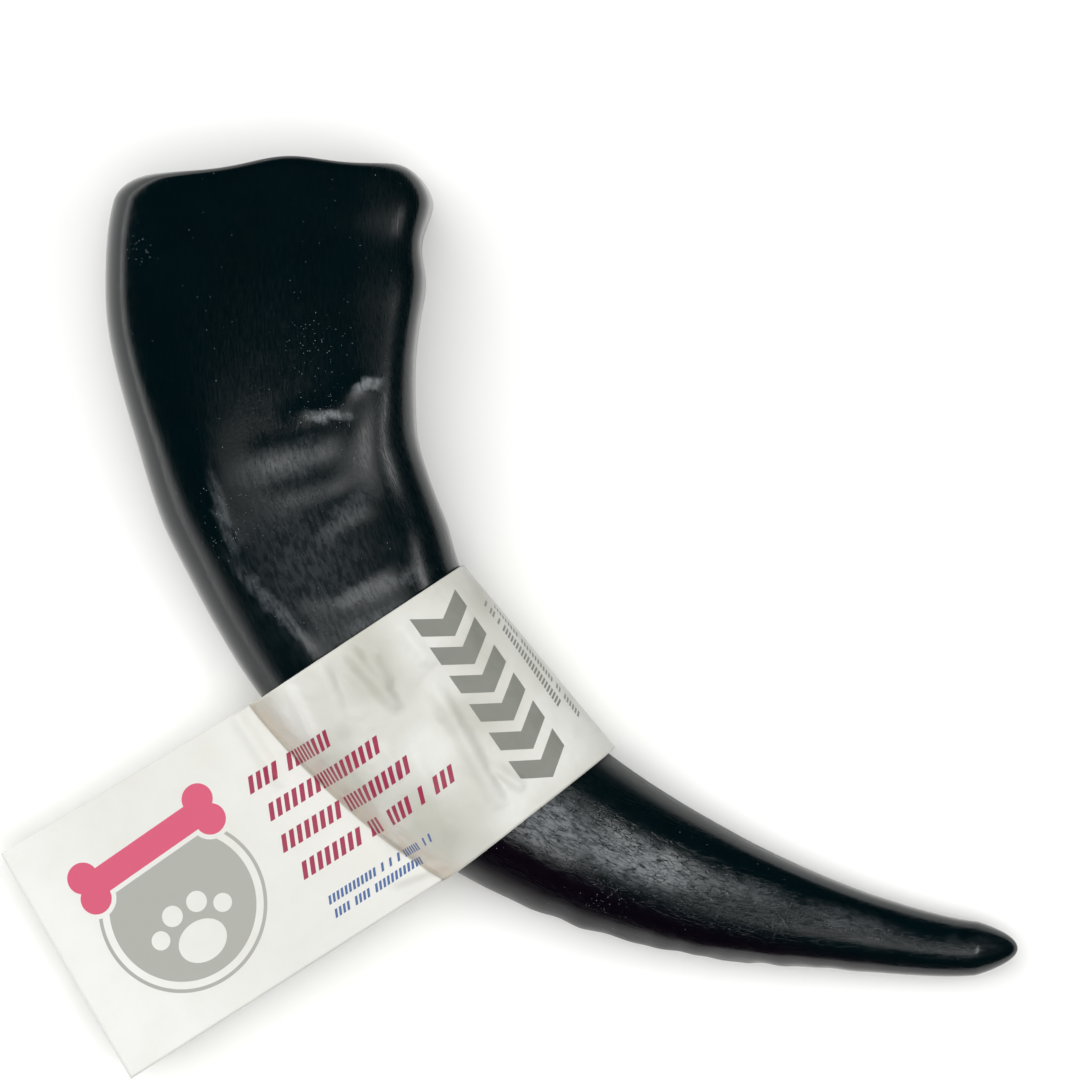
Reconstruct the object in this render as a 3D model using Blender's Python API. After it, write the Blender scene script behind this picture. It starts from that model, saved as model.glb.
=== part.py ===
"""A dog chew: one water buffalo horn, hollow at its base, in a folded paper label.

The horn lies on its flat side, with its curve in the XY plane. The rim of the hollow faces +Y and the
tip points to +X. The origin is on the resting plane, below the middle of the bounding box, and +Z is up.
Lengths are in millimetres until a mesh is made.
"""

import bmesh
import bpy
import numpy as np
from mathutils.geometry import convex_hull_2d

MM = 0.001
COLLECTION = "buffalo_horn_dog_chew"

# Middle line of the horn seen from above, from the rim to the tip
SPINE = [
    (-44.9, 84.6), (-46.0, 66.0), (-45.7, 50.9), (-42.6, 31.1), (-38.0, 18.5), (-26.4, -5.5),
    (-9.2, -25.8), (12.8, -40.8), (37.2, -51.5), (62.3, -58.3), (83.0, -62.1), (96.4, -62.4),
]

# Distance along the horn, half width, half thickness, and squareness of the section's outer and inner
# sides: 2 is an ellipse
SECTIONS = [
    (0.0, 29.7, 16.6, 3.6, 6.5), (25.0, 29.6, 17.2, 3.6, 6.5), (50.0, 26.2, 16.9, 3.3, 5.8),
    (80.0, 23.6, 15.2, 2.8, 4.6), (110.0, 19.7, 13.6, 2.5, 3.6), (140.0, 17.0, 11.9, 2.4, 3.1),
    (170.0, 13.1, 9.6, 2.3, 2.8), (200.0, 8.1, 7.0, 2.2, 2.5), (226.0, 5.2, 4.9, 2.1, 2.2),
    (236.0, 4.6, 4.4, 2.0, 2.0),
]

# Distance along the horn and height of its underside: below 0 it is worn flat where it rests
UNDERSIDE = [(0.0, -0.3), (60.0, -0.3), (86.0, 1.1), (146.0, 1.1), (168.0, -0.12), (190.0, 0.2), (236.0, 2.2)]

# Lumps of the skin: distance along, angle around in degrees (0 inner edge, 90 top, 180 outer edge),
# height, half length along and half width around
LUMPS = [
    (6.0, 0.0, 1.2, 4.5, 45.0), (12.5, 0.0, -1.3, 4.0, 45.0), (22.0, 0.0, 0.5, 5.5, 45.0),
    (38.0, 0.0, -0.3, 8.0, 45.0), (67.0, 0.0, -0.6, 10.0, 40.0), (78.0, 0.0, 0.3, 4.0, 40.0),
    (2.0, 180.0, -1.2, 6.0, 50.0), (28.0, 180.0, 0.3, 14.0, 40.0), (58.0, 122.0, 0.7, 20.0, 11.0),
    (46.0, 52.0, 0.8, 16.0, 12.0), (82.0, 118.0, 0.7, 18.0, 11.0), (40.0, 240.0, 0.6, 16.0, 14.0),
    (75.0, 300.0, 0.6, 20.0, 14.0),
]
DISH_DEPTH, DISH_AT, DISH_HALF_LENGTH, DISH_HALF_WIDTH = 0.5, 56.0, 20.0, 11.0

# Rim: its narrow sides are rounded off in a long sweep and its flats only at their edge, with one swell
RIM_SWEEP, RIM_SWEEP_DEPTH, RIM_EDGE, RIM_EDGE_DEPTH = 6.5, 7.4, 1.6, 1.4
RIM_TILT, RIM_SWELL, RIM_SWELL_AT, RIM_SWELL_HALF_WIDTH, RIM_FADE = 3.0, 2.0, 3.0, 9.0, 18.0
TIP_ROUND_LENGTH, TIP_ROUND_POWER = 8.0, 1.3

# Hollow: distance along the horn, half width and half thickness
HOLLOW = [(0.0, 20.2, 10.8), (40.0, 18.6, 10.2), (75.0, 13.2, 7.8), (100.0, 7.6, 5.0), (118.0, 4.6, 3.2)]
HOLLOW_END, HOLLOW_ROUND_LENGTH, HOLLOW_SQUARENESS, MOUTH_ROUND = 118.0, 10.0, 2.6, 1.0

# Label, seen from above: where its two edges lie over the horn's inner side, over its outer side, and at
# the loose end. It is snug where the horn is thick, and slack towards the tip.
LABEL_FAR_SIDE = [(-9.8, 9.8), (19.2, -24.5)]
LABEL_CREASE = [(-46.2, -14.2), (-10.4, -47.7)]
LABEL_LOOSE_END = [(-96.3, -44.3), (-71.7, -86.8)]
LABEL_CLEARANCE, LABEL_THICKNESS, LABEL_SLACK = 0.32, 0.26, 1.0
LABEL_REACH, BORE_PAST_EDGE = (60.0, 175.0), 0.04
FLAG_GAP, FLAG_ROOT_HEIGHT, FLAG_END_HEIGHT = 2.6, 14.5, 11.5

# How finely the solids are divided
HORN_SEGMENTS, HOLLOW_ROWS, SKIN_ROWS = 42, 17, 54
LABEL_STEPS, LABEL_POINTS, SLICE_ROWS, SLICE_POINTS, DISC_POINTS = 10, 50, 116, 72, 24


def smooth_curve(points, per_span=24):
    """A Catmull-Rom curve through the points, as many rows of numbers."""
    rows = np.array(points, float)
    rows = np.vstack([2 * rows[0] - rows[1], rows, 2 * rows[-1] - rows[-2]])
    t = np.linspace(0, 1, per_span, endpoint=False)[:, None]
    spans = [
        0.5 * (2 * b + (c - a) * t + (2 * a - 5 * b + 4 * c - d) * t**2 + (3 * b - a - 3 * c + d) * t**3)
        for a, b, c, d in zip(rows, rows[1:], rows[2:], rows[3:])
    ]
    return np.vstack([*spans, rows[-2:-1]])


def table_at(table, along):
    """The columns of a table, read smoothly at each distance along the horn."""
    curve = smooth_curve(table)
    return [np.interp(along, curve[:, 0], column)[:, None] for column in curve[:, 1:].T]


def swell(distance, half_width):
    """A bell from 1 at no distance down to nothing."""
    return np.exp(-((distance / half_width) ** 2))


def rounding(along, length):
    """Quarter of a circle over a length from the rim: from 1 at the rim down to nothing."""
    return 1 - np.sqrt(1 - np.clip(1 - along[:, None] / length, 0, 1) ** 2)


def spine_at(along):
    """Middle of the horn, and the direction towards its inner edge, at each distance along."""
    curve = smooth_curve(SPINE)
    steps = np.hypot(*np.diff(curve, axis=0).T)
    travelled = np.append(0, np.cumsum(steps))
    heading = np.gradient(curve, travelled, axis=0)
    x, y, dx, dy = [np.interp(along, travelled, c) for c in np.hstack([curve, heading]).T]
    size = np.hypot(dx, dy)
    return np.stack([x, y], 1), np.stack([-dy / size, dx / size], 1)


def spine_length():
    """Length of the horn along its middle line."""
    return float(np.hypot(*np.diff(smooth_curve(SPINE), axis=0).T).sum())


def rounded_box(around, squareness):
    """Unit section, as across and up, at each angle around."""
    across, up = np.cos(around), np.sin(around)
    reach = (abs(across) ** squareness + abs(up) ** squareness) ** (-1 / squareness)
    return across * reach, up * reach


def place(along, across, height):
    """Points in space from the distance along the horn, across it and above the floor."""
    middle, inward = spine_at(along)
    forward = np.stack([inward[:, 1], -inward[:, 0]], 1)
    lift = RIM_TILT * across / SECTIONS[0][1] + RIM_SWELL * swell(across - RIM_SWELL_AT, RIM_SWELL_HALF_WIDTH)
    back = lift * np.clip(1 - along / RIM_FADE, 0, 1)[:, None] ** 2
    plan = middle[:, None] + inward[:, None] * across[..., None] - forward[:, None] * back[..., None]
    return np.dstack([plan, height])


def middle_height(along):
    """Height of the horn's middle above the floor."""
    return table_at(SECTIONS, along)[1] + table_at(UNDERSIDE, along)[0]


def outer_skin(along, around):
    """Points of the horn's outer skin: one row for each distance along, one column for each angle."""
    half_width, half_thick, outer, inner = table_at(SECTIONS, along)
    left = np.clip((along[:, None] - spine_length()) / TIP_ROUND_LENGTH + 1, 0, 1)
    tip = np.sqrt(1 - left**TIP_ROUND_POWER)
    sides = RIM_SWEEP_DEPTH * rounding(along, RIM_SWEEP)
    flats = RIM_EDGE_DEPTH * rounding(along, RIM_EDGE)
    across, up = rounded_box(around, np.where(np.cos(around) > 0, inner, outer))
    lump = np.zeros((len(along), len(around)))
    for at, angle, height, half_length, half_spread in LUMPS:
        turn = (around - np.radians(angle) + np.pi) % (2 * np.pi) - np.pi
        lump += height * swell(along[:, None] - at, half_length) * swell(turn, np.radians(half_spread))
    across = across * (half_width - sides) * tip + lump * np.cos(around)
    dish = DISH_DEPTH * swell(along[:, None] - DISH_AT, DISH_HALF_LENGTH) * swell(across, DISH_HALF_WIDTH)
    height = up * (half_thick - flats) * tip + lump * np.sin(around) - dish * (up > 0)
    return place(along, across, np.maximum(height + middle_height(along), 0))


def hollow_skin(along, around):
    """Points of the hollow's wall, in the same rows and columns."""
    half_width, half_thick = table_at(HOLLOW, along)
    left = np.clip((along[:, None] - HOLLOW_END) / HOLLOW_ROUND_LENGTH + 1, 0, 1)
    end = np.sqrt(1 - left**2)
    flare = MOUTH_ROUND * rounding(along, MOUTH_ROUND)
    across, up = rounded_box(around, HOLLOW_SQUARENESS)
    height = up * (half_thick * end + flare) + middle_height(along)
    return place(along, across * (half_width * end + flare), height)


def loft(name, rings, collection):
    """One closed solid through rings of points, with a flat cap at each end."""
    bm = bmesh.new()
    made = [[bm.verts.new(point * MM) for point in ring] for ring in rings]
    for ring, following in zip(made, made[1:]):
        for i in range(len(ring)):
            bm.faces.new([ring[i - 1], ring[i], following[i], following[i - 1]])
    bm.faces.new(made[0])
    bm.faces.new(reversed(made[-1]))
    bmesh.ops.recalc_face_normals(bm, faces=bm.faces)
    mesh = bpy.data.meshes.new(name)
    bm.to_mesh(mesh)
    bm.free()
    mesh.shade_smooth()
    solid = bpy.data.objects.new(name, mesh)
    collection.objects.link(solid)
    return solid


def build_horn(collection):
    """The horn in one piece: the hollow's wall, the rim, and the outer skin to the tip."""
    around = np.linspace(0, 2 * np.pi, HORN_SEGMENTS, endpoint=False)
    length = spine_length()
    deep = HOLLOW_END - HOLLOW_ROUND_LENGTH * np.array([0.03, 0.15, 0.4, 0.7, 1.0])
    wall = np.linspace(deep[-1], 0, HOLLOW_ROWS + 2)[1:-1]
    mouth = MOUTH_ROUND * np.array([0.5, 0.15, 0.0])
    rim = np.array([0.0, 0.06, 0.25, 0.7, RIM_EDGE, 0.6 * RIM_SWEEP, RIM_SWEEP])
    skin = np.linspace(rim[-1], length - TIP_ROUND_LENGTH, SKIN_ROWS + 2)[1:-1]
    tip = length - TIP_ROUND_LENGTH * np.array([1.0, 0.75, 0.5, 0.3, 0.15, 0.05, 0.01])
    inside = hollow_skin(np.concatenate([deep, wall, mouth]), around)
    outside = outer_skin(np.concatenate([rim, skin, tip]), around)
    return loft("horn", [*inside, *outside], collection)


def between(ends, share):
    """The point at a share of the way between two points."""
    return np.array(ends[0]) * (1 - share) + np.array(ends[1]) * share


def heading(start, end):
    """Unit direction from one point to another."""
    return (end - start) / np.linalg.norm(end - start)


def label_line(share):
    """Far side, crease and loose end of the bent line that the label takes at a share of its width."""
    return [between(ends, share) for ends in (LABEL_FAR_SIDE, LABEL_CREASE, LABEL_LOOSE_END)]


def slice_of_horn(share):
    """What the label wraps, in the upright plane of its line: distance towards the flag, and height."""
    start, crease, _ = label_line(share)
    towards = heading(start, crease)
    around = np.linspace(0, 2 * np.pi, SLICE_POINTS, endpoint=False)
    skin = outer_skin(np.linspace(*LABEL_REACH, SLICE_ROWS), around)
    plan = skin[..., :2] - start
    past = plan @ np.array([-towards[1], towards[0]])
    run = plan @ towards
    outline = np.array([
        [np.interp(0, past[:, i], run[:, i]), np.interp(0, past[:, i], skin[:, i, 2])]
        for i in range(skin.shape[1])
    ])
    outline[:, 0] -= LABEL_SLACK * share * (1 - outline[:, 0] / outline[:, 0].max())
    return outline


def grown_hull(points, margin):
    """Convex outline round the points, pushed out by a margin."""
    turns = np.linspace(0, 2 * np.pi, DISC_POINTS, endpoint=False)
    disc = margin * np.stack([np.cos(turns), np.sin(turns)], 1)
    cloud = (points[:, None] + disc).reshape(-1, 2)
    return cloud[convex_hull_2d(cloud.tolist())]


def evenly_spaced(path, count):
    """That many points, evenly spaced along an open path."""
    travelled = np.append(0, np.cumsum(np.hypot(*np.diff(path, axis=0).T)))
    wanted = np.linspace(0, travelled[-1], count)
    return np.stack([np.interp(wanted, travelled, column) for column in path.T], 1)


def band_path(points, margin, root, half_gap):
    """Taut band round the horn at a margin, as an open path from below the flag's root to above it."""
    ends = np.array([[root[0], root[1] + half_gap], [root[0], root[1] - half_gap]])
    cloud = np.vstack([grown_hull(points, margin), ends])
    loop = cloud[convex_hull_2d(cloud.tolist())]
    loop = np.roll(loop, -int(np.argmax(loop[:, 0])), axis=0)
    if half_gap == 0:
        return evenly_spaced(np.vstack([loop, loop[:1]]), LABEL_POINTS + 1)[:-1]
    if np.isclose(loop[1, 0], loop[0, 0]):
        loop = np.roll(loop, -1, axis=0)
    return evenly_spaced(loop, LABEL_POINTS)


def label_rings(shares, margin, half_gap):
    """Rings of the label's loft, one at each share of its width, without the flag if there is no half gap."""
    first, last = slice_of_horn(0.0), slice_of_horn(1.0)
    rings = []
    for share in shares:
        outline = slice_of_horn(share)
        taut = np.vstack([outline, between([first, last], share)])
        start, crease, loose_end = label_line(share)
        root = (outline[:, 0].max() + FLAG_GAP, FLAG_ROOT_HEIGHT)
        run, height = band_path(taut, margin, root, half_gap).T[:, :, None]
        bend = np.linalg.norm(crease - start)
        over = heading(start, crease) * np.minimum(run, bend)
        beyond = heading(crease, loose_end) * np.maximum(run - bend, 0)
        ring = np.hstack([start + over + beyond, height])
        if half_gap:
            step = half_gap if ring[-1, 2] > ring[0, 2] else -half_gap
            end = [[*loose_end, FLAG_END_HEIGHT + step], [*loose_end, FLAG_END_HEIGHT - step]]
            ring = np.vstack([ring, end])
        rings.append(ring)
    return rings


def build_label(collection, cutters):
    """The label: a taut band round the horn whose stuck ends stand off as a flag."""
    shares = np.linspace(0, 1, LABEL_STEPS + 1)
    label = loft("label", label_rings(shares, LABEL_CLEARANCE + LABEL_THICKNESS, LABEL_THICKNESS), collection)
    past = np.concatenate([[-BORE_PAST_EDGE], shares, [1 + BORE_PAST_EDGE]])
    bore = loft("label_bore", label_rings(past, LABEL_CLEARANCE, 0.0), cutters)
    bore.hide_render = True
    bore.display_type = "WIRE"
    cut = label.modifiers.new("bore", "BOOLEAN")
    cut.object = bore
    cut.solver = "EXACT"
    return label


def finish(solid, name, colour, roughness):
    """A plain finish for one piece."""
    material = bpy.data.materials.new(name)
    material.use_nodes = True
    shader = material.node_tree.nodes["Principled BSDF"]
    shader.inputs["Base Color"].default_value = (*colour, 1)
    shader.inputs["Roughness"].default_value = roughness
    shader.inputs["Metallic"].default_value = 0.0
    solid.data.materials.append(material)


def clear_scene():
    """Removes what the file holds before the model is made."""
    for thing in list(bpy.data.objects):
        bpy.data.objects.remove(thing)


def new_collection(name):
    """A collection in the scene."""
    made = bpy.data.collections.new(name)
    bpy.context.scene.collection.children.link(made)
    return made


def main():
    clear_scene()
    pieces, cutters = new_collection(COLLECTION), new_collection("cutters")
    finish(build_horn(pieces), "black_horn", colour=(0.004, 0.006, 0.007), roughness=0.35)
    finish(build_label(pieces, cutters), "label_paper", colour=(0.80, 0.79, 0.74), roughness=0.45)


main()
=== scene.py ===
"""Shows a horn dog chew: the buffed black horn, hollow at its base, in its folded paper label.

The horn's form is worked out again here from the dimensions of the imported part, on a finer mesh and with
the soft ripples and lumps of its skin. Lengths are in millimetres until a mesh is made.
"""

import bpy
import numpy as np
from bpy.props import FloatProperty, FloatVectorProperty, IntProperty, PointerProperty
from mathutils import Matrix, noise
from mathutils.geometry import convex_hull_2d


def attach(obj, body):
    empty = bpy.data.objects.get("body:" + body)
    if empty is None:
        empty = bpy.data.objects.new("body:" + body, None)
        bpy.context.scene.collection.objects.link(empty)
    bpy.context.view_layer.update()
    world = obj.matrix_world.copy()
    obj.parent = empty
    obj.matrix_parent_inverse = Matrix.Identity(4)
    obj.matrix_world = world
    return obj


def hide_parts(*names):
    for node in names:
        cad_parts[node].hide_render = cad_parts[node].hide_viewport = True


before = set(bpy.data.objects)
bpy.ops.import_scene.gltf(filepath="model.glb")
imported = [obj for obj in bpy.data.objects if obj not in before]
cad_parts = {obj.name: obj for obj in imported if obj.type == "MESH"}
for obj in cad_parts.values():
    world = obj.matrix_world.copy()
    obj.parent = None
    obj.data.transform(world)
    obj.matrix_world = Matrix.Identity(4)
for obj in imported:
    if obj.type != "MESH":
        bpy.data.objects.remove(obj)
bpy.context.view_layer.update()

bl_info = {
    "name": "Horn Dog Chew",
    "version": (1, 0, 0),
    "blender": (4, 5, 0),
    "location": "3D View > Sidebar > Horn Chew",
    "description": "Builds a buffed horn dog chew, its paper label and a pale studio",
    "category": "Add Mesh",
}

MM = 0.001

# Settings that many nodes share. A mix of colours has its two colours at sockets 6 and 7.
SMOOTH = {"interpolation_type": "SMOOTHSTEP"}
FLAT_NOISE = {"noise_dimensions": "2D"}
COLOURS = {"data_type": "RGBA", "out": 2}

# Middle line of the horn seen from above, from the rim to the tip
SPINE = [
    (-44.9, 84.6), (-46.0, 66.0), (-45.7, 50.9), (-42.6, 31.1), (-38.0, 18.5), (-26.4, -5.5),
    (-9.2, -25.8), (12.8, -40.8), (37.2, -51.5), (62.3, -58.3), (83.0, -62.1), (96.32, -62.4),
]

# How far ahead and behind the horn's direction is taken, so that it turns evenly: least at the rim
TURN_REACH = (0.5, 10.0)

# Distance along the horn, half width, half thickness, and squareness of the section's outer and inner
# sides: 2 is an ellipse
SECTIONS = [
    (0.0, 29.7, 16.6, 3.6, 6.5), (25.0, 29.6, 17.2, 3.6, 6.5), (50.0, 26.2, 16.9, 3.3, 5.8),
    (80.0, 23.6, 15.2, 2.8, 4.6), (110.0, 19.7, 13.6, 2.5, 3.6), (140.0, 17.0, 11.9, 2.4, 3.1),
    (170.0, 13.1, 9.6, 2.3, 2.8), (200.0, 8.1, 7.0, 2.2, 2.5), (226.0, 5.2, 4.9, 2.1, 2.2),
    (236.0, 4.6, 4.4, 2.0, 2.0),
]

# Distance along the horn and height of its underside: below 0 it is worn flat where it rests
UNDERSIDE = [(0.0, -0.3), (60.0, -0.3), (86.0, 1.1), (146.0, 1.1), (168.0, -0.12), (190.0, 0.2), (236.0, 2.2)]

# Lumps of the skin: distance along, angle around in degrees (0 inner edge, 90 top, 180 outer edge),
# height, half length along and half width around
LUMPS = [
    (6.0, 0.0, 1.2, 4.5, 45.0), (12.5, 0.0, -1.3, 4.0, 45.0), (22.0, 0.0, 0.5, 5.5, 45.0),
    (38.0, 0.0, -0.3, 8.0, 45.0), (67.0, 0.0, -0.6, 10.0, 40.0), (78.0, 0.0, 0.3, 4.0, 40.0),
    (2.0, 180.0, -1.2, 6.0, 50.0), (28.0, 180.0, 0.3, 14.0, 40.0), (58.0, 122.0, 0.7, 20.0, 11.0),
    (46.0, 52.0, 0.8, 16.0, 12.0), (82.0, 118.0, 0.7, 18.0, 11.0), (40.0, 240.0, 0.6, 16.0, 14.0),
    (75.0, 300.0, 0.6, 20.0, 14.0),
]

# Shallow dish in the top near the base
DISH_DEPTH, DISH_AT, DISH_HALF_LENGTH, DISH_HALF_WIDTH = 0.5, 56.0, 20.0, 11.0

# Hollows that scraping leaves: share of the depth, size and seed. They are lowered to stay under the form.
SCRAPES = [(0.35, 14.0, 5.0), (0.2, 5.0, 7.0)]
SCRAPE_ROOM = 0.3

# Small lumps along the outer edge towards the tip: middle, half length, height and size, and then their
# half width around in degrees and their seed
RAGGED_AT, RAGGED_HALF_LENGTH, RAGGED_HEIGHT, RAGGED_SIZE = 172.0, 26.0, 0.7, 4.5
RAGGED_HALF_SPREAD, RAGGED_SEED = 32.0, 11.0

# Where dust lies: distance round from the top, below 0 on the inner side, distance along, and reach
DUSTY_SPOTS = [
    ((-10.3, 33.5), 10.0), ((23.8, 16.0), 5.0), ((13.5, 62.0), 9.0),
    ((-10.0, 47.5), 7.0), ((9.0, 157.0), 8.0),
]

# Painted sheen and highlights, drawn as pale scuff marks, in the same coordinates: middle, half length, half
# width, turn and strength, and the size and reach of the noise that makes their outlines uneven
SHEEN_PATCHES = [
    ((-18.4, 43.5), 4.4, 1.8, 0.31, 1.3), ((-10.2, 48.5), 6.0, 1.7, -0.26, 1.1),
    ((-1.0, 55.5), 14.0, 5.0, 0.0, 0.34), ((-6.5, 69.5), 12.0, 4.0, 0.35, 0.36),
    ((-6.0, 84.0), 14.0, 3.2, -0.14, 0.42), ((-5.0, 90.0), 12.0, 3.0, -0.10, 0.4),
    ((13.9, 61.0), 11.0, 1.8, 1.5, 0.36), ((12.0, 78.5), 15.0, 2.4, -1.21, 0.46),
    ((2.0, 76.0), 26.0, 18.0, 1.57, 0.16), ((0.0, 140.0), 18.0, 7.6, 1.52, 1.2),
    ((-0.9, 158.0), 20.0, 6.0, 1.62, 1.2), ((-2.8, 178.0), 16.0, 3.4, 1.6, 0.36),
    ((-1.8, 202.0), 14.0, 3.4, 1.5, 0.25), ((-0.5, 225.0), 9.0, 2.8, 1.57, 0.12),
]
WOBBLE_SIZE, WOBBLE_REACH = 2.857, 2.6

# Sizes of the horn's patterns. The first three are as long as they are wide, and the others are given across
# and along the horn. The grain that buffing leaves is finer on the real one and is drawn to show.
BLOTCH, PIT, CRUMB_CELL = 11.11, 0.625, 0.4
WRINKLE, GRAIN, STREAK, WALL_FIBRE = (1.613, 5.0), (0.3125, 2.857), (0.909, 2.5), (0.8333, 16.67)
GRAIN_DEPTH, PIT_DEPTH, WALL_FIBRE_DEPTH = 0.003, 0.008, 0.25

# Wrinkles: the turn and seed of each set of lines, and how wide a line is in the noise's own measure
WRINKLE_TURNS = [(0.35, 3.0), (-0.5, 17.0), (1.1, 29.0)]
WRINKLE_LINE = 0.022

# A crumb's radius as a share of its cell, and the chance that a cell is bare: far off and at a dusty spot
CRUMB_RADII, BARE_CHANCES = (0.05, 0.16), (0.996, 0.86)

# Where the horn's finish changes, as distances along it and out from its top, and how much duller it is there
WORN_STARTS, WORN_ENDS, WORN_SIDES = (100.0, 140.0), (165.0, 205.0), (4.0, 9.0)
PLUM_STARTS, PLUM_SIDE = (105.0, 130.0), (3.0, 8.0)
DULL_EDGE_STARTS, DULL_EDGE_SIDES, EDGE_DULLER = (110.0, 140.0), (9.0, 15.0), 0.26
SHOULDER_AT, SHOULDER_SIDES, SHOULDER_DULLER = -23.0, (2.0, 8.0), 0.12
SHEEN_DULLER, ROUGHNESS_SPREAD, HORN_IOR = 0.12, (-0.05, 0.07), 1.54

# Rim: its narrow sides are rounded off in a long sweep and its flats only at their edge, with one swell
RIM_SWEEP, RIM_SWEEP_DEPTH, RIM_EDGE, RIM_EDGE_DEPTH = 6.5, 7.4, 1.6, 1.4
RIM_TILT, RIM_SWELL, RIM_SWELL_AT, RIM_SWELL_HALF_WIDTH, RIM_FADE = 3.0, 2.0, 3.0, 9.0, 18.0
TIP_ROUND_LENGTH, TIP_ROUND_POWER = 8.0, 1.3

# Hollow: distance along the horn, half width and half thickness
HOLLOW = [(0.0, 20.2, 10.8), (40.0, 18.6, 10.2), (75.0, 13.2, 7.8), (100.0, 7.6, 5.0), (118.0, 4.6, 3.2)]
HOLLOW_END, HOLLOW_ROUND_LENGTH, HOLLOW_SQUARENESS, MOUTH_ROUND = 118.0, 10.0, 2.6, 1.0

# Rings of the horn's mesh over each stretch of it, the angle at which a round end stops short of its very
# point, and the rings of the mouth that the buffing reaches
DEEP_RINGS, WALL_RINGS, MOUTH_RINGS, RIM_RINGS, SKIN_RINGS, TIP_RINGS = 12, 90, 6, 36, 370, 26
POINT_ANGLE, BUFFED_MOUTH_RINGS = 0.02, 3

# Ripples and scraped ridges on the horn's top, seen from above: two ends, height and half width
RIPPLES = [
    ((-31.6, 42.4), (-26.6, 45.0), 0.26, 1.8), ((-41.0, 38.4), (-30.5, 40.2), 0.22, 2.0),
    ((-47.0, 30.6), (-34.0, 33.4), 0.18, 2.6), ((-44.0, 23.4), (-31.5, 26.4), 0.13, 2.4),
    ((-38.0, 16.8), (-26.0, 22.0), 0.18, 2.5), ((-45.0, 12.2), (-33.0, 15.0), 0.10, 2.2),
    ((-32.0, 5.0), (-20.5, 10.8), 0.20, 2.5), ((-42.0, 3.4), (-30.0, 5.2), 0.09, 2.2),
    ((-56.0, 27.0), (-50.5, 12.0), 0.20, 1.8), ((-50.0, 12.0), (-38.0, -4.0), 0.28, 1.9),
    ((6.0, -32.5), (26.0, -43.0), 0.10, 2.6),
]

# How far the top is lowered to leave room for the ripples, and the shares of a ridge's length, out from its
# middle, where it begins to fade and over which it fades
RIPPLE_ROOM = 0.2
RIDGE_FULL, RIDGE_FADE = 0.3, 0.25

# Label, seen from above: where its two edges lie over the horn's inner side, over its outer side, and at
# the loose end. It is snug where the horn is thick, and slack towards the tip.
LABEL_FAR_SIDE = [(-9.8, 9.8), (19.2, -24.5)]
LABEL_CREASE = [(-46.2, -14.2), (-10.4, -47.7)]
LABEL_LOOSE_END = [(-96.3, -44.3), (-71.7, -86.8)]
LABEL_CLEARANCE, LABEL_SLACK, LABEL_WIDTH, LAYER_ROOM = 0.32, 1.0, 49.0, 0.03
LABEL_ROWS, FLAG_POINTS, BAND_POINTS = 90, 90, 300
FLAG_GAP, FLAG_ROOT_HEIGHT, FLAG_END_HEIGHT = 2.6, 14.5, 11.5

# Stretch of the horn that the label's section is read from, with its rows and columns of points, and the
# points of the circle that a section is grown by
WRAPPED_FROM, WRAPPED_TO, WRAPPED_ROWS, WRAPPED_COLUMNS, GROWN_POINTS = 60.0, 175.0, 116, 96, 36

# The label's print on the flat strip, from its loose end and across its width. The paw's discs are placed
# from the badge's middle, on one side of the line that mirrors them.
BADGE, BADGE_RADIUS, BADGE_LINE = (25.0, 26.5), 14.2, (15.6, 16.3)
PAW_PAD, PAW_TOES, PAD_NARROWER = ((0.0, 7.6), 3.9), [((2.7, 0.6), 2.0), ((6.9, 3.4), 1.8)], 0.8
BONE, BONE_TURN, BONE_KNOB, BONE_KNOB_RADIUS = (24.5, 13.5), -0.06, (13.2, 2.3), 3.0
BONE_HALF_LENGTH, BONE_HALF_WIDTH, BONE_MARGIN = 13.0, 2.6, 0.9

# Each row of strokes has its start, end, middle, half height, pitch and seed
CRIMSON_ROWS = [
    (47.0, 74.0, 13.5, 1.6, 1.7, 3.0), (47.0, 81.0, 20.0, 1.6, 1.7, 41.0),
    (47.0, 86.0, 26.5, 1.6, 1.7, 90.0), (47.0, 90.5, 33.0, 1.6, 1.7, 133.0),
]
NAVY_ROWS = [(49.0, 78.0, 40.5, 0.8, 0.9, 12.0), (49.0, 70.0, 43.3, 0.8, 0.9, 77.0)]
GREY_ROWS = [(8.0, 36.0, 112.5, 0.8, 0.9, 5.0), (8.0, 40.0, 115.3, 0.8, 0.9, 60.0)]
STROKE_SLANT, STROKE_SHARE, STROKE_GAPS = 0.4, 0.6, 0.14

# The band of chevrons: its middle along the strip, its half width, and the pitch, slant, share and the first
# and last of its chevrons, counted across the strip
CHEVRONS_AT, CHEVRON_HALF_WIDTH, CHEVRON_PITCH, CHEVRON_SLANT = 103.0, 5.2, 6.9, 0.7
CHEVRON_SHARE, CHEVRON_RANGE = 0.62, (0.99, 6.8)

# Sizes of the label's patterns: mottle, blotches of the painted fold shade over the horn, blotches of the
# painted shade past the pinch, crumples and fibres. Real fibres are ten times finer and are drawn to show.
MOTTLE, FOLD_SHADE_BLOTCH, RISE_SHADE_BLOTCH, CRUMPLE, FIBRE = 8.333, 16.67, 2.857, 6.25, 0.4
CRUMPLE_DEPTH, FIBRE_DEPTH, PAPER_ROUGHNESS = 0.6, 0.008, (0.34, 0.44)

# Where the label's paper changes, as distances past its pinch: over the horn, darker towards the pinch, the
# painted fold shadow, and the painted shade past the pinch
OVER_HORN, DARKER_TO_PINCH, FOLD_SHADOW_LINE = (-0.5, 2.5), (-62.0, -30.0), (-0.25, 0.2)
RISE_SHADE_STARTS, RISE_SHADE_ENDS = (-0.6, 0.6), (2.0, 12.0)

# The floor: its size in metres, gap under the horn, size of its mottle, shade of that and roughness
FLOOR_SIZE, FLOOR_GAP, FLOOR_MOTTLE, FLOOR_SHADE, FLOOR_ROUGHNESS = 6.0, 0.05, 166.7, 0.97, 0.7

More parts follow.
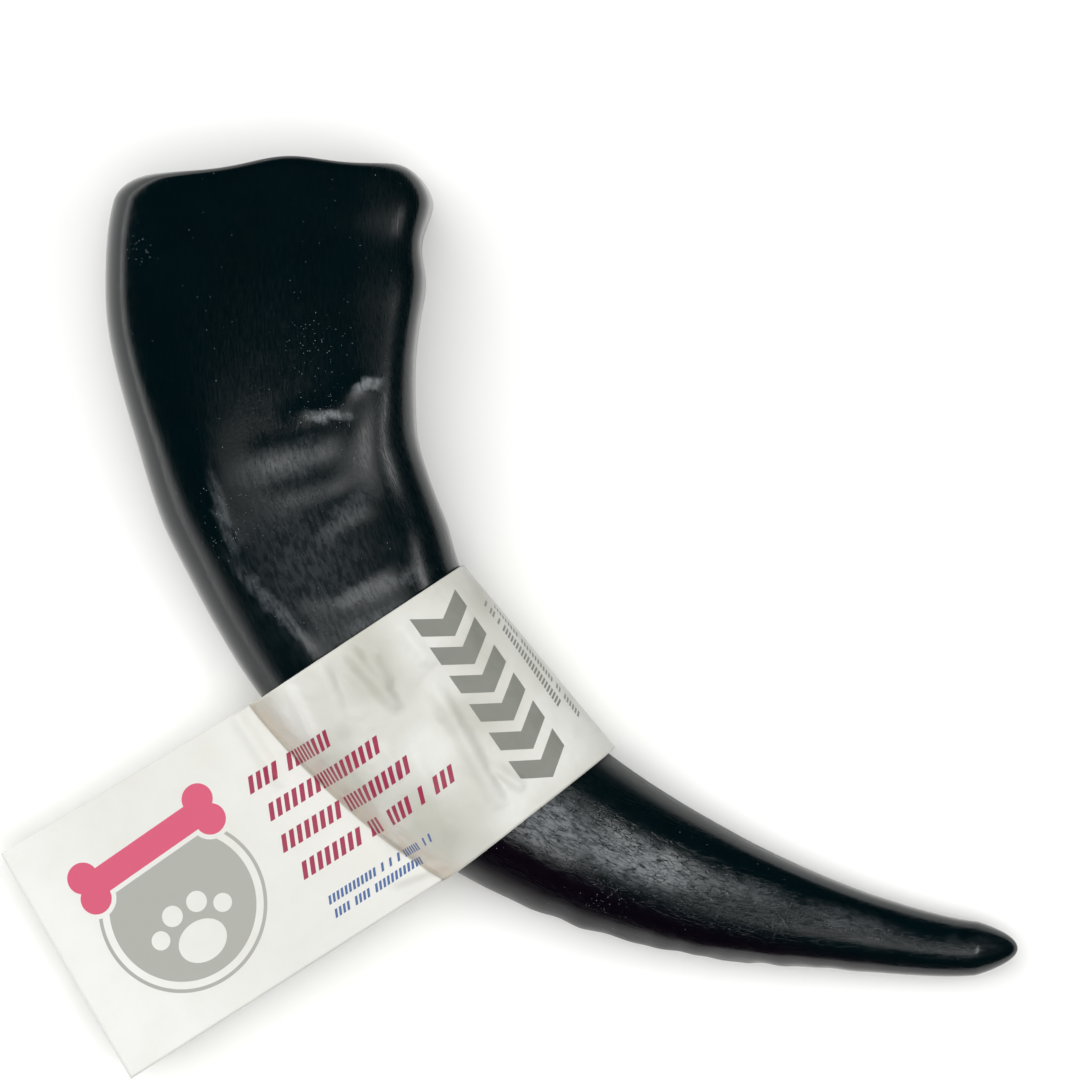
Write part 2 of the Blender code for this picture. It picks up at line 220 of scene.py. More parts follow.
# The soft world: the heights of a band over the horizon, the side where it is strong, its strengths
# opposite and there, and the least strength of all
HORIZON_BAND, BAND_SIDE, BAND_STRENGTHS, DIMMEST = (0.02, 0.36), (-0.95, 0.3, 0.0), (0.03, 2.6), 0.01
WORLD_TINT = "#fffefd"

# Glows above the horn: direction, cosines of the angles where each begins and is full, and strength
GLOWS = [((0.116, -0.250, 0.961), 0.978, 0.998, 1.1), ((0.093, -0.346, 0.934), 0.990, 0.999, 2.6)]

# The camera: the point that it looks down on, the width of its view at a height above the floor, and its
# sensor's width
CAMERA_OVER, VIEW_WIDTH, VIEW_AT, SENSOR_WIDTH = (5.66, 15.09), 203.77, 15.0, 36.0

# Lights: place, width and height in metres, power, and whether the horn mirrors them
SOFTBOXES = [
    ("strip_softbox", (0.63, -0.22, 1.21), 0.38, 0.18, 1.3, True),
    ("window_softbox", (-0.6, 0.35, 1.5), 2.0, 2.0, 32.0, False),
    ("fill_softbox", (0.6, -0.2, 1.4), 1.6, 1.6, 15.0, False),
]

# Buckles of the label seen from above: two ends, height and half width
BUCKLES = [
    ((-13.5, -13.0), (-2.0, -34.0), 1.30, 1.5), ((-19.5, -12.0), (-9.0, -30.0), -0.30, 3.0),
    ((-35.0, -8.5), (-31.0, -21.0), 1.15, 1.6), ((-29.8, -5.6), (-21.5, -15.7), 1.40, 1.3),
    ((-26.0, -6.5), (-22.5, -12.0), 0.80, 1.2), ((-23.6, -23.6), (-20.4, -28.9), 0.75, 1.0),
    ((-2.8, -27.4), (2.3, -31.1), 0.70, 1.0), ((-52.1, -17.2), (-43.5, -30.5), 0.90, 1.3),
    ((-41.0, -13.0), (-35.0, -26.0), 1.30, 1.2), ((-22.0, -49.5), (-13.0, -46.0), 0.70, 1.0),
    ((-24.0, -46.5), (-16.0, -43.0), -0.25, 1.2), ((-28.0, -28.0), (-22.0, -42.0), 0.85, 1.5),
    ((-17.0, -26.0), (-12.0, -40.0), 0.70, 1.4), ((-20.0, -1.5), (-15.0, -8.0), 0.60, 1.6),
]
DEEPEST_BUCKLE = -0.2


def linear(code):
    """Linear colour of an sRGB hex value."""
    parts = [int(code[i:i + 2], 16) / 255 for i in (1, 3, 5)]
    return [c / 12.92 if c <= 0.04045 else ((c + 0.055) / 1.055) ** 2.4 for c in parts]


def smooth_curve(points, per_span=24):
    """A Catmull-Rom curve through the points, as many rows of numbers."""
    rows = np.array(points, float)
    rows = np.vstack([2 * rows[0] - rows[1], rows, 2 * rows[-1] - rows[-2]])
    t = np.linspace(0, 1, per_span, endpoint=False)[:, None]
    spans = [
        0.5 * (2 * b + (c - a) * t + (2 * a - 5 * b + 4 * c - d) * t**2 + (3 * b - a - 3 * c + d) * t**3)
        for a, b, c, d in zip(rows, rows[1:], rows[2:], rows[3:])
    ]
    return np.vstack([*spans, rows[-2:-1]])


def table_at(table, along):
    """The columns of a table, read smoothly at each distance along the horn."""
    curve = smooth_curve(table)
    return [np.interp(along, curve[:, 0], column)[:, None] for column in curve[:, 1:].T]


def swell(distance, half_width):
    """A bell from 1 at no distance down to nothing."""
    return np.exp(-((distance / half_width) ** 2))


def rounding(along, length):
    """Quarter of a circle over a length from the rim: from 1 at the rim down to nothing."""
    return 1 - np.sqrt(1 - np.clip(1 - along[:, None] / length, 0, 1) ** 2)


def spine_at(along):
    """Middle of the horn, and the direction towards its inner edge, at each distance along."""
    curve = smooth_curve(SPINE)
    travelled = np.append(0, np.cumsum(np.hypot(*np.diff(curve, axis=0).T)))
    reach = np.clip(along, *TURN_REACH)
    middle, ahead, behind = [
        np.stack([np.interp(there, travelled, column) for column in curve.T], 1)
        for there in (along, along + reach, along - reach)
    ]
    forward = (ahead - behind) / np.linalg.norm(ahead - behind, axis=1)[:, None]
    return middle, np.stack([-forward[:, 1], forward[:, 0]], 1)


def spine_length():
    """Length of the horn along its middle line."""
    return float(np.hypot(*np.diff(smooth_curve(SPINE), axis=0).T).sum())


def rounded_box(around, squareness):
    """Unit section, as across and up, at each angle around."""
    across, up = np.cos(around), np.sin(around)
    reach = (abs(across) ** squareness + abs(up) ** squareness) ** (-1 / squareness)
    return across * reach, up * reach


def place(along, across, height):
    """Points in space from the distance along the horn, across it and above the floor."""
    middle, inward = spine_at(along)
    forward = np.stack([inward[:, 1], -inward[:, 0]], 1)
    lift = RIM_TILT * across / SECTIONS[0][1] + RIM_SWELL * swell(across - RIM_SWELL_AT, RIM_SWELL_HALF_WIDTH)
    back = lift * np.clip(1 - along / RIM_FADE, 0, 1)[:, None] ** 2
    plan = middle[:, None] + inward[:, None] * across[..., None] - forward[:, None] * back[..., None]
    return np.dstack([plan, height])


def middle_height(along):
    """Height of the horn's middle above the floor."""
    return table_at(SECTIONS, along)[1] + table_at(UNDERSIDE, along)[0]


def soft_noise(across, along, size, seed):
    """Smooth noise from -1 to 1 over the skin, with lumps of a size in millimetres."""
    flat = zip((across / size).ravel(), (along / size).ravel())
    return np.array([noise.noise((x, y, seed)) for x, y in flat]).reshape(across.shape)


def relief(along, across, depth):
    """Height of the small hollows that scraping leaves on the skin."""
    along = np.broadcast_to(along[:, None], across.shape)
    scraped = sum(share * soft_noise(across, along, size, seed) for share, size, seed in SCRAPES)
    return depth * (scraped - SCRAPE_ROOM)


def ragged_edge(along, around):
    """Height of the small lumps along the outer edge."""
    along, around = np.meshgrid(along, around, indexing="ij")
    lumps = soft_noise(SECTIONS[-1][1] * around, along, RAGGED_SIZE, RAGGED_SEED)
    outer_side = swell(around - np.pi, np.radians(RAGGED_HALF_SPREAD))
    return RAGGED_HEIGHT * lumps * outer_side * swell(along - RAGGED_AT, RAGGED_HALF_LENGTH)


def ridges_at(plan, ridges):
    """Height of soft ridges, each between two ends, at points seen from above."""
    height = np.zeros(plan.shape[:-1])
    for start, end, tall, half_width in ridges:
        start, end = np.array(start), np.array(end)
        share = (plan - start) @ (end - start) / np.linalg.norm(end - start) ** 2
        off = np.linalg.norm(plan - start - np.clip(share, 0, 1)[..., None] * (end - start), axis=-1)
        past_full = np.clip(abs(share - 0.5) - RIDGE_FULL, 0, None)
        height += tall * swell(off, half_width) * swell(past_full, RIDGE_FADE)
    return height


def outer_skin(along, around, depth=0.0):
    """Points of the horn's outer skin: one row for each distance along, one column for each angle."""
    half_width, half_thick, outer, inner = table_at(SECTIONS, along)
    # The tip closes over its last stretch, and the rim is rounded off
    left = np.clip((along[:, None] - spine_length()) / TIP_ROUND_LENGTH + 1, 0, 1)
    tip = np.sqrt(1 - left**TIP_ROUND_POWER)
    sides = RIM_SWEEP_DEPTH * rounding(along, RIM_SWEEP)
    flats = RIM_EDGE_DEPTH * rounding(along, RIM_EDGE)
    across, up = rounded_box(around, np.where(np.cos(around) > 0, inner, outer))
    lump = np.zeros((len(along), len(around)))
    for at, angle, height, half_length, half_spread in LUMPS:
        turn = (around - np.radians(angle) + np.pi) % (2 * np.pi) - np.pi
        lump += height * swell(along[:, None] - at, half_length) * swell(turn, np.radians(half_spread))
    if depth:
        lump += relief(along, across * half_width, depth) * tip * (1 - rounding(along, RIM_SWEEP))
        lump += ragged_edge(along, around)
    across = across * (half_width - sides) * tip + lump * np.cos(around)
    dish = DISH_DEPTH * swell(along[:, None] - DISH_AT, DISH_HALF_LENGTH) * swell(across, DISH_HALF_WIDTH)
    height = up * (half_thick - flats) * tip + lump * np.sin(around) - dish * (up > 0)
    return place(along, across, np.maximum(height + middle_height(along), 0))


def hollow_skin(along, around):
    """Points of the hollow's wall, in the same rows and columns."""
    half_width, half_thick = table_at(HOLLOW, along)
    left = np.clip((along[:, None] - HOLLOW_END) / HOLLOW_ROUND_LENGTH + 1, 0, 1)
    end = np.sqrt(1 - left**2)
    flare = MOUTH_ROUND * rounding(along, MOUTH_ROUND)
    across, up = rounded_box(around, HOLLOW_SQUARENESS)
    height = up * (half_thick * end + flare) + middle_height(along)
    return place(along, across * (half_width * end + flare), height)


def between(ends, share):
    """The point at a share of the way between two points."""
    return np.array(ends[0]) * (1 - share) + np.array(ends[1]) * share


def heading(start, end):
    """Unit direction from one point to another."""
    return (end - start) / np.linalg.norm(end - start)


def label_line(share):
    """Far side, crease and loose end of the bent line that the label takes at a share of its width."""
    return [between(ends, share) for ends in (LABEL_FAR_SIDE, LABEL_CREASE, LABEL_LOOSE_END)]


def slice_of_horn(share):
    """What the label wraps, in the upright plane of its line: distance towards the flag, and height."""
    start, crease, _ = label_line(share)
    towards = heading(start, crease)
    along = np.linspace(WRAPPED_FROM, WRAPPED_TO, WRAPPED_ROWS)
    skin = outer_skin(along, np.linspace(0, 2 * np.pi, WRAPPED_COLUMNS, endpoint=False))
    plan = skin[..., :2] - start
    past = plan @ np.array([-towards[1], towards[0]])
    run = plan @ towards
    outline = np.array([
        [np.interp(0, past[:, i], run[:, i]), np.interp(0, past[:, i], skin[:, i, 2])]
        for i in range(skin.shape[1])
    ])
    outline[:, 0] -= LABEL_SLACK * share * (1 - outline[:, 0] / outline[:, 0].max())
    return outline


def grown_hull(points, margin):
    """Convex outline round the points, pushed out by a margin."""
    turns = np.linspace(0, 2 * np.pi, GROWN_POINTS, endpoint=False)
    circle = margin * np.stack([np.cos(turns), np.sin(turns)], 1)
    cloud = (points[:, None] + circle).reshape(-1, 2)
    return cloud[convex_hull_2d(cloud.tolist())]


def evenly_spaced(path, count):
    """That many points, evenly spaced along an open path."""
    travelled = np.append(0, np.cumsum(np.hypot(*np.diff(path, axis=0).T)))
    wanted = np.linspace(0, travelled[-1], count)
    return np.stack([np.interp(wanted, travelled, column) for column in path.T], 1)


def band_path(points, margin, root, half_gap, count):
    """Taut band round the horn at a margin, as an open path from above the flag's root to below it."""
    ends = np.array([[root[0], root[1] + half_gap], [root[0], root[1] - half_gap]])
    cloud = np.vstack([grown_hull(points, margin), ends])
    loop = cloud[convex_hull_2d(cloud.tolist())]
    loop = np.roll(loop, -int(np.argmax(loop[:, 0])), axis=0)
    # The two ends lie furthest out and side by side: the path runs from one of them round to the other
    if abs(loop[1, 0] - loop[0, 0]) < 1e-9:
        loop = np.roll(loop, -1, axis=0)
    path = loop if loop[0, 1] > loop[-1, 1] else loop[::-1]
    return evenly_spaced(path, count)


def strip_of_label(shares, thickness):
    """The label's paper: a row of points for each share of its width, from the upper loose end to the lower.

    The distances along each row come with it.
    """
    half_gap, margin = thickness + LAYER_ROOM, LABEL_CLEARANCE + thickness
    first, last = slice_of_horn(0.0), slice_of_horn(1.0)
    rows = []
    for share in shares:
        outline = slice_of_horn(share)
        taut = np.vstack([outline, between([first, last], share)])
        start, crease, loose_end = label_line(share)
        root = (outline[:, 0].max() + FLAG_GAP, FLAG_ROOT_HEIGHT)
        run, height = band_path(taut, margin, root, half_gap, BAND_POINTS).T[:, :, None]
        # Past the crease, the line over the horn turns to that of the flag
        bend = np.linalg.norm(crease - start)
        over = heading(start, crease) * np.minimum(run, bend)
        beyond = heading(crease, loose_end) * np.maximum(run - bend, 0)
        band = np.hstack([start + over + beyond, height])
        out = np.linspace(0, 1, FLAG_POINTS)[:-1, None]
        upper = (1 - out) * np.append(loose_end, FLAG_END_HEIGHT + half_gap) + out * band[0]
        lower = (1 - out) * np.append(loose_end, FLAG_END_HEIGHT - half_gap) + out * band[-1]
        rows.append(np.vstack([upper, band, lower[::-1]]))
    rows = np.array(rows)
    steps = np.linalg.norm(np.diff(rows, axis=1), axis=2)
    return rows, np.hstack([np.zeros((len(rows), 1)), np.cumsum(steps, axis=1)])


def add(tree, kind, *values, out=0, named=None, **settings):
    """Adds a node, fills or links its sockets in order or by name, and gives one of its outputs."""
    node = tree.nodes.new("ShaderNode" + kind)
    for key, value in settings.items():
        setattr(node, key, value)
    sockets = list(zip(node.inputs, values))
    sockets += [(node.inputs[key], value) for key, value in (named or {}).items()]
    for socket, value in sockets:
        if isinstance(value, bpy.types.NodeSocket):
            tree.links.new(value, socket)
        elif value is not None:
            socket.default_value = value
    return node.outputs[out]


def new_material(name):
    """A material with its node tree and its shader."""
    material = bpy.data.materials.new(name)
    material.use_nodes = True
    tree = material.node_tree
    return material, tree, tree.nodes["Principled BSDF"]


def wrapped_mesh(name, rings, maps, closed):
    """A smooth mesh through rings of points. Each map gives the two numbers of every ring's corners."""
    rows, columns = rings.shape[:2]
    spans = columns if closed else columns - 1
    row, column = np.meshgrid(np.arange(rows - 1), np.arange(spans), indexing="ij")
    after = (column + 1) % columns
    faces = np.stack([row * columns + column, row * columns + after, (row + 1) * columns + after,
                      (row + 1) * columns + column], -1).reshape(-1, 4)
    caps = [list(range(columns))[::-1], list(range((rows - 1) * columns, rows * columns))] if closed else []
    mesh = bpy.data.meshes.new(name)
    mesh.from_pydata((rings.reshape(-1, 3) * MM).tolist(), [], faces.tolist() + caps)
    for map_name, values in maps.items():
        corners = np.stack([values[row, column], values[row, column + 1], values[row + 1, column + 1],
                            values[row + 1, column]], 2).reshape(-1, 2)
        rest = np.repeat(values[[0, -1], 0], columns, axis=0) if closed else np.zeros((0, 2))
        mesh.uv_layers.new(name=map_name).data.foreach_set("uv", np.vstack([corners, rest]).ravel())
    mesh.shade_smooth()
    piece = bpy.data.objects.new(name, mesh)
    bpy.context.scene.collection.objects.link(piece)
    return piece


def lengths_round(rings):
    """Distance round each ring to each of its points, and back to its first point."""
    steps = np.linalg.norm(np.roll(rings, -1, axis=1) - rings, axis=2)
    return np.hstack([np.zeros((len(rings), 1)), np.cumsum(steps, axis=1)])


def joined(tree, operation, *values):
    """Runs one operation over values in turn: a product is what all masks share, a maximum what any has."""
    result = values[0]
    for value in values[1:]:
        result = add(tree, "Math", result, value, operation=operation)
    return result


def within(tree, value, low, high):
    """Mask of where a value lies between two limits."""
    return add(tree, "Math", value, (low + high) / 2, (high - low) / 2, operation="COMPARE")


def away_from(tree, value, middle):
    """How far a value is from a middle one, either way."""
    return add(tree, "Math", add(tree, "Math", value, middle, operation="SUBTRACT"), operation="ABSOLUTE")


def disc(tree, vector, centre, radius):
    """Mask of a disc in flat coordinates."""
    distance = add(tree, "VectorMath", vector, (*centre, 0.0), operation="DISTANCE", out=1)
    return add(tree, "Math", distance, radius, operation="LESS_THAN")


def scale_for(size):
    """Scale that gives a pattern its size across and along, on a map in millimetres."""
    return (1 / size[0], 1 / size[1], 1.0)


def painted_sheen(tree, skin):
    """Strength of the painted sheen and highlights over the skin, drawn as pale scuff marks. Soft noise makes
    their outlines uneven.
    """
    wobble = add(tree, "TexNoise", skin, None, 1 / WOBBLE_SIZE, 2.0, 0.5, out=1, **FLAT_NOISE)
    wobble = add(tree, "VectorMath", wobble, (0.5, 0.5, 0.5), operation="SUBTRACT")
    reach = (WOBBLE_REACH, WOBBLE_REACH, 0.0)
    wobbly = add(tree, "VectorMath", wobble, reach, skin, operation="MULTIPLY_ADD")
    masks = []
    for middle, half_length, half_width, turn, strength in SHEEN_PATCHES:
        there = add(tree, "Mapping", wobbly, (*middle, 0.0), (0.0, 0.0, turn), (half_length, half_width, 1.0),
                    vector_type="TEXTURE")
        away = add(tree, "VectorMath", there, operation="LENGTH", out=1)
        masks.append(add(tree, "MapRange", away, 0.1, 1.0, strength, 0.0, **SMOOTH))
    return joined(tree, "MAXIMUM", *masks)


def wrinkled(tree, skin, worn):
    """Depth of the wrinkles where the skin is worn: fine lines that cross at three turns, each below 0."""
    depths = []
    for turn, seed in WRINKLE_TURNS:
        turned = add(tree, "Mapping", skin, (seed, seed, 0.0), (0.0, 0.0, turn), scale_for(WRINKLE))
        lines = add(tree, "TexNoise", turned, None, 1.0, 2.0, 0.5, **FLAT_NOISE)
        off_line = away_from(tree, lines, 0.5)
        depths.append(add(tree, "MapRange", off_line, 0.0, WRINKLE_LINE, -1.0, 0.0, **SMOOTH))
    return joined(tree, "MULTIPLY", joined(tree, "ADD", *depths), worn)


def dusted(tree, skin):
    """Mask of the crumbs of dust: specks of many sizes, rare but at the dusty spots."""
    dusty = joined(tree, "MAXIMUM", *[
        add(tree, "MapRange", add(tree, "VectorMath", skin, (*spot, 0.0), operation="DISTANCE", out=1),
            0.0, reach, 1.0, 0.0, **SMOOTH)
        for spot, reach in DUSTY_SPOTS
    ])
    distance, chances = [
        add(tree, "TexVoronoi", skin, None, 1 / CRUMB_CELL, voronoi_dimensions="2D", out=out)
        for out in (0, 1)
    ]
    chance, size = add(tree, "SeparateXYZ", chances), add(tree, "SeparateXYZ", chances, out=1)
    radius = add(tree, "MapRange", size, 0.0, 1.0, *CRUMB_RADII)
    near = add(tree, "Math", distance, radius, operation="LESS_THAN")
    bare = add(tree, "MapRange", dusty, 0.0, 1.0, *BARE_CHANCES)
    return joined(tree, "MULTIPLY", near, add(tree, "Math", chance, bare, operation="GREATER_THAN"))


def buffed_black_horn(chew):
    """Horn keratin, scraped and then buffed: near black, with a satin gloss that fine scratches break up, and
    painted sheen and highlights drawn as pale scuff marks.
    """
    material, tree, shader = new_material("buffed_black_horn")
    skin = add(tree, "UVMap", uv_map="skin")
    outward, along = add(tree, "SeparateXYZ", skin), add(tree, "SeparateXYZ", skin, out=1)
    from_top = add(tree, "Math", outward, operation="ABSOLUTE")
    worn = joined(tree, "MULTIPLY", add(tree, "MapRange", along, *WORN_STARTS, 0.25, 1.0, **SMOOTH),
                  add(tree, "MapRange", along, *WORN_ENDS, 1.0, 0.3, **SMOOTH),
                  add(tree, "MapRange", from_top, *WORN_SIDES, 1.0, 0.0, **SMOOTH))
    wrinkles = wrinkled(tree, skin, worn)
    grain = add(tree, "Mapping", skin, None, None, scale_for(GRAIN))
    grain = add(tree, "TexNoise", grain, None, 1.0, 3.0, 0.6, **FLAT_NOISE)
    streaks = add(tree, "Mapping", skin, None, None, scale_for(STREAK))
    streaks = add(tree, "TexNoise", streaks, None, 1.0, 4.0, 0.6, **FLAT_NOISE)
    sheen = joined(tree, "MULTIPLY", painted_sheen(tree, skin),
                    add(tree, "MapRange", streaks, 0.36, 0.6, 0.3, 1.0),
                    add(tree, "Math", wrinkles, 0.6, 1.0, operation="MULTIPLY_ADD"))

    # Blotches of two blacks, redder on the outer side towards the tip, and then the painted sheen and
    # highlights and the dust
    blotches = add(tree, "TexNoise", skin, None, 1 / BLOTCH, 3.0, 0.6, **FLAT_NOISE)
    redder = joined(tree, "MULTIPLY", add(tree, "MapRange", outward, *PLUM_SIDE, 0.0, 1.0),
                    add(tree, "MapRange", along, *PLUM_STARTS, 0.0, 1.0))
    colour = (*chew.horn_colour, 1)
    for mask, over in ((blotches, chew.horn_film), (redder, chew.horn_plum), (sheen, chew.sheen_colour),
                       (dusted(tree, skin), chew.dust_colour)):
        colour = add(tree, "Mix", mask, named={6: colour, 7: (*over, 1)}, **COLOURS)

    # Wrinkles, grain and pits for the light to catch
    pits = add(tree, "TexNoise", skin, None, 1 / PIT, 4.0, 0.6, **FLAT_NOISE)
    depths = [
        add(tree, "Math", height, depth * MM, operation="MULTIPLY")
        for height, depth in ((wrinkles, chew.scratch_depth), (grain, GRAIN_DEPTH), (pits, PIT_DEPTH))
    ]
    bump = add(tree, "Bump", 1.0, 1.0, named={"Height": joined(tree, "ADD", *depths)})

    # The buffing missed the inner shoulder and the edges towards the tip, which are duller
    grainy = [chew.horn_roughness + spread for spread in ROUGHNESS_SPREAD]
    off_shoulder = away_from(tree, outward, SHOULDER_AT)
    roughness = joined(
        tree, "ADD", add(tree, "MapRange", grain, 0.35, 0.65, *grainy),
        add(tree, "MapRange", off_shoulder, *SHOULDER_SIDES, SHOULDER_DULLER, 0.0, **SMOOTH),
        joined(tree, "MULTIPLY", add(tree, "MapRange", from_top, *DULL_EDGE_SIDES, 0.0, EDGE_DULLER),
               add(tree, "MapRange", along, *DULL_EDGE_STARTS, 0.0, 1.0)),
        add(tree, "Math", sheen, SHEEN_DULLER, operation="MULTIPLY"))
    tree.links.new(colour, shader.inputs["Base Color"])
    tree.links.new(roughness, shader.inputs["Roughness"])
    tree.links.new(bump, shader.inputs["Normal"])
    shader.inputs["IOR"].default_value = HORN_IOR
    return material


def raw_horn_wall(chew):
    """Horn keratin as it grew, unbuffed, inside the hollow: dull brown fibres that run towards the tip."""
    material, tree, shader = new_material("raw_horn_wall")
    skin = add(tree, "UVMap", uv_map="skin")
    fibres = add(tree, "Mapping", skin, None, None, scale_for(WALL_FIBRE))
    fibres = add(tree, "TexNoise", fibres, None, 1.0, 4.0, 0.65, **FLAT_NOISE)
    colour = add(tree, "Mix", fibres, named={6: (*chew.horn_colour, 1), 7: (*chew.hollow_colour, 1)},
                 **COLOURS)
    depth = add(tree, "Math", fibres, WALL_FIBRE_DEPTH * MM, operation="MULTIPLY")
    tree.links.new(colour, shader.inputs["Base Color"])
    tree.links.new(add(tree, "MapRange", fibres, 0.3, 0.7, 0.55, 0.8), shader.inputs["Roughness"])
    tree.links.new(add(tree, "Bump", 1.0, 1.0, named={"Height": depth}), shader.inputs["Normal"])
    shader.inputs["IOR"].default_value = HORN_IOR
    return material


def ticks(tree, run, side, start, end, middle, half_height, pitch, seed):
    """Mask of a row of whole slanted strokes, with gaps here and there."""
    slanted = add(tree, "Math", side, STROKE_SLANT, run, operation="MULTIPLY_ADD")
    cells = add(tree, "Math", slanted, pitch, operation="DIVIDE")
    stroke = add(tree, "Math", cells, operation="FRACT")
    stroke = add(tree, "Math", stroke, STROKE_SHARE, operation="LESS_THAN")
    number = add(tree, "Math", cells, operation="FLOOR")
    chance = add(tree, "TexWhiteNoise", None, add(tree, "Math", number, seed), noise_dimensions="1D")
    kept = add(tree, "Math", chance, STROKE_GAPS, operation="GREATER_THAN")
    row = within(tree, side, middle - half_height, middle + half_height)
    leaning = STROKE_SLANT * middle
    whole = within(tree, number, (start + leaning) / pitch, (end + leaning) / pitch - 1)
    return joined(tree, "MULTIPLY", stroke, kept, row, whole)


def rows_of_ticks(tree, run, side, rows):
    """Mask of several rows of strokes."""
    return joined(tree, "MAXIMUM", *[ticks(tree, run, side, *row) for row in rows])


def bone_shape(tree, bone_at, margin):
    """Mask of a bone with four knobs, grown by a margin: its right upper quarter, mirrored both ways."""
    across, up = add(tree, "SeparateXYZ", bone_at), add(tree, "SeparateXYZ", bone_at, out=1)
    half_width = BONE_HALF_WIDTH + margin
    shaft = joined(tree, "MULTIPLY", within(tree, across, -BONE_HALF_LENGTH, BONE_HALF_LENGTH),
                   within(tree, up, -half_width, half_width))
    folded = add(tree, "VectorMath", bone_at, operation="ABSOLUTE")
    return joined(tree, "MAXIMUM", disc(tree, folded, BONE_KNOB, BONE_KNOB_RADIUS + margin), shaft)


def chevron_band(tree, run, side):
    """Mask of the row of chevrons across the strip."""
    off_middle = away_from(tree, run, CHEVRONS_AT)
    slanted = add(tree, "Math", off_middle, CHEVRON_SLANT, side, operation="MULTIPLY_ADD")
    count = add(tree, "Math", slanted, CHEVRON_PITCH, operation="DIVIDE")
    inked = add(tree, "Math", count, operation="FRACT")
    inked = add(tree, "Math", inked, CHEVRON_SHARE, operation="LESS_THAN")
    band = within(tree, off_middle, -CHEVRON_HALF_WIDTH, CHEVRON_HALF_WIDTH)
    return joined(tree, "MULTIPLY", band, within(tree, count, *CHEVRON_RANGE), inked)


def printed_paper(tree, strip, paper, chew):
    """The paper under its print: a paw on a badge, a bone, rows of strokes and a band of chevrons."""
    run, side = add(tree, "SeparateXYZ", strip), add(tree, "SeparateXYZ", strip, out=1)
    badge = disc(tree, strip, BADGE, BADGE_RADIUS)
    line_inside, line_outside = [disc(tree, strip, BADGE, radius) for radius in BADGE_LINE]
    badge_line = joined(tree, "SUBTRACT", line_outside, line_inside)
    paw_at = add(tree, "VectorMath", strip, (*BADGE, 0.0), operation="SUBTRACT")
    sideways = add(tree, "Math", add(tree, "SeparateXYZ", paw_at), operation="ABSOLUTE")
    folded = add(tree, "CombineXYZ", sideways, add(tree, "SeparateXYZ", paw_at, out=1), 0.0)
    pad_at = add(tree, "VectorMath", folded, (PAD_NARROWER, 1.0, 1.0), operation="MULTIPLY")
    paw = joined(tree, "MAXIMUM", disc(tree, pad_at, *PAW_PAD),
                 *[disc(tree, folded, *toe) for toe in PAW_TOES])
    bone_at = add(tree, "Mapping", strip, (*BONE, 0.0), (0.0, 0.0, BONE_TURN), vector_type="TEXTURE")
    colour = paper
    for mask, ink in ((badge, chew.badge_ink), (badge_line, chew.badge_ink), (paw, None),
                      (bone_shape(tree, bone_at, BONE_MARGIN), None),
                      (bone_shape(tree, bone_at, 0.0), chew.bone_ink),
                      (rows_of_ticks(tree, run, side, CRIMSON_ROWS), chew.crimson_ink),
                      (rows_of_ticks(tree, run, side, NAVY_ROWS), chew.navy_ink),
                      (rows_of_ticks(tree, side, run, GREY_ROWS), chew.grey_ink),
                      (chevron_band(tree, run, side), chew.grey_ink)):
        colour = add(tree, "Mix", mask, named={6: colour, 7: (*ink, 1) if ink else paper}, **COLOURS)
    return colour


